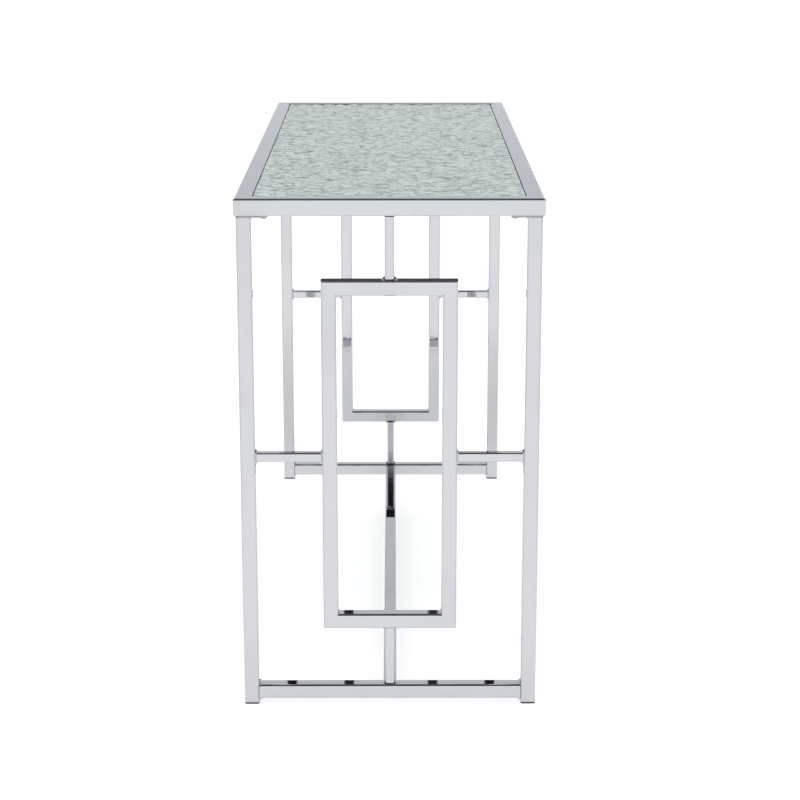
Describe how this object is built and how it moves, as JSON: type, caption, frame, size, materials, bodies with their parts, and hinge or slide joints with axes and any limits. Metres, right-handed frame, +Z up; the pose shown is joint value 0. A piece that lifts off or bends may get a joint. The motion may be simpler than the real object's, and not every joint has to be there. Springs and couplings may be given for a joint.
{
  "type": "console table",
  "caption": "Long narrow console table: polished square-tube end frames with open rectangular panels carry a rim around an inset textured glass top, tied by a low stretcher.",
  "frame": {"origin": "on the floor, under the middle of the table top", "axes": "+X along the length towards the right end, +Y across the width towards the back, +Z up"},
  "size_m": [1.2, 0.44, 0.762],
  "materials": {
    "chrome": "mirror-polished chrome plate",
    "fastener_steel": "bright zinc plate",
    "textured_glass": "crackle-textured, pale grey-green, backed so that it looks opaque",
    "black_plastic": "matte moulded",
    "clear_rubber": "translucent soft bumper"
  },
  "bodies": {
    "root": {"top_rail_right": "chrome", "top_rail_left": "chrome", "top_rail_back": "chrome", "top_rail_front": "chrome", "glass_ledge_front": "chrome", "glass_ledge_back": "chrome", "glass_ledge_left": "chrome", "glass_ledge_right": "chrome", "glass_pad_front_left": "clear_rubber", "glass_pad_front_middle": "clear_rubber", "glass_pad_front_right": "clear_rubber", "glass_pad_back_left": "clear_rubber", "glass_pad_back_middle": "clear_rubber", "glass_pad_back_right": "clear_rubber", "glass_pane": "textured_glass", "left_floor_rail": "chrome", "left_panel_back": "chrome", "left_panel_front": "chrome", "left_panel_top": "chrome", "left_panel_bottom": "chrome", "left_leg_front": "chrome", "left_tab_front": "chrome", "left_tab_screw_front": "fastener_steel", "left_tab_nut_front": "fastener_steel", "left_glide_front": "black_plastic", "left_side_bar_front": "chrome", "left_leg_back": "chrome", "left_tab_back": "chrome", "left_tab_screw_back": "fastener_steel", "left_tab_nut_back": "fastener_steel", "left_glide_back": "black_plastic", "left_side_bar_back": "chrome", "left_lower_post": "chrome", "left_upper_post": "chrome", "left_post_pad": "black_plastic", "left_stretcher_spigot": "fastener_steel", "left_stretcher_screw": "fastener_steel", "right_floor_rail": "chrome", "right_panel_back": "chrome", "right_panel_front": "chrome", "right_panel_top": "chrome", "right_panel_bottom": "chrome", "right_leg_front": "chrome", "right_tab_front": "chrome", "right_tab_screw_front": "fastener_steel", "right_tab_nut_front": "fastener_steel", "right_glide_front": "black_plastic", "right_side_bar_front": "chrome", "right_leg_back": "chrome", "right_tab_back": "chrome", "right_tab_screw_back": "fastener_steel", "right_tab_nut_back": "fastener_steel", "right_glide_back": "black_plastic", "right_side_bar_back": "chrome", "right_lower_post": "chrome", "right_upper_post": "chrome", "right_post_pad": "black_plastic", "right_stretcher_spigot": "fastener_steel", "right_stretcher_screw": "fastener_steel", "stretcher": "chrome"}
  },
  "joints": []
}
